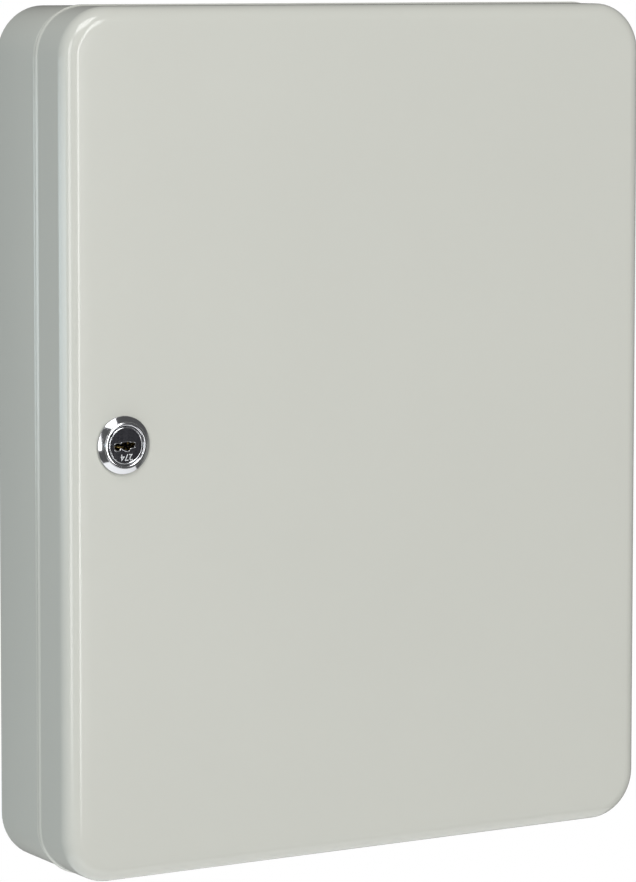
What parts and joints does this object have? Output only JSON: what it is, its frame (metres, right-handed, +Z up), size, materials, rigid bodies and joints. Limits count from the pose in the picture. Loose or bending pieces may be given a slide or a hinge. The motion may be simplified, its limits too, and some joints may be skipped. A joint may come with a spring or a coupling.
{
  "type": "key cabinet",
  "caption": "Wall key cabinet: a rounded steel case and a pan door on a long side hinge, a cam lock, and slotted columns with hook rails inside.",
  "frame": {"origin": "middle of the case's back face, on the wall plane", "axes": "+X to the right as the cabinet is faced, -Y out of the wall towards the person, +Z up"},
  "size_m": [0.3046, 0.0697, 0.38],
  "materials": {
    "enamelled_steel": "light grey baked enamel, semi-gloss",
    "zinc_plated_steel": "zinc-plated, satin",
    "chrome": "polished",
    "black_nickel": "black, glossy",
    "brass": "as stamped",
    "hook_plastic": "grey moulded plastic, satin",
    "label_card": "matt card",
    "buffer_rubber": "matt black"
  },
  "bodies": {
    "case": {"case_shell": "enamelled_steel", "case_hinge_leaf": "zinc_plated_steel", "hinge_pin": "zinc_plated_steel", "case_left_column": "zinc_plated_steel", "case_right_column": "zinc_plated_steel", "lock_keep": "zinc_plated_steel", "lower_buffer": "buffer_rubber", "upper_buffer": "buffer_rubber", "case_hook_rail_1": "hook_plastic", "case_hook_rail_2": "hook_plastic", "case_hook_rail_3": "hook_plastic", "case_hook_rail_4": "hook_plastic", "case_hook_rail_5": "hook_plastic", "case_label_strip_1": "label_card", "case_label_strip_2": "label_card", "case_label_strip_3": "label_card", "case_label_strip_4": "label_card", "case_label_strip_5": "label_card"},
    "door": {"door_shell": "enamelled_steel", "door_hinge_leaf": "zinc_plated_steel", "door_left_column": "zinc_plated_steel", "door_right_column": "zinc_plated_steel", "lock_housing": "chrome", "lock_washer": "zinc_plated_steel", "lock_nut": "zinc_plated_steel", "door_hook_rail_1": "hook_plastic", "door_hook_rail_2": "hook_plastic", "door_hook_rail_3": "hook_plastic", "door_hook_rail_4": "hook_plastic", "door_hook_rail_5": "hook_plastic", "door_label_strip_1": "label_card", "door_label_strip_2": "label_card", "door_label_strip_3": "label_card", "door_label_strip_4": "label_card", "door_label_strip_5": "label_card"},
    "lock": {"lock_plug": "black_nickel", "turn_stop_washer": "zinc_plated_steel", "lock_cam": "zinc_plated_steel", "cam_spring_washer": "zinc_plated_steel", "cam_screw": "zinc_plated_steel", "lock_wafer_1": "brass", "lock_wafer_2": "brass", "lock_wafer_3": "brass", "lock_wafer_4": "brass", "lock_wafer_5": "brass"}
  },
  "joints": [
    {"name": "door_swing", "type": "hinge", "parent": "case", "child": "door", "pos_m": [0.1525, -0.0385, 0], "axis": [0, 0, 1], "range_deg": [0, 175]},
    {"name": "lock_turn", "type": "hinge", "parent": "door", "child": "lock", "pos_m": [-0.122, -0.0665, 0.0015], "axis": [0, 1, 0], "range_deg": [0, 90]}
  ]
}
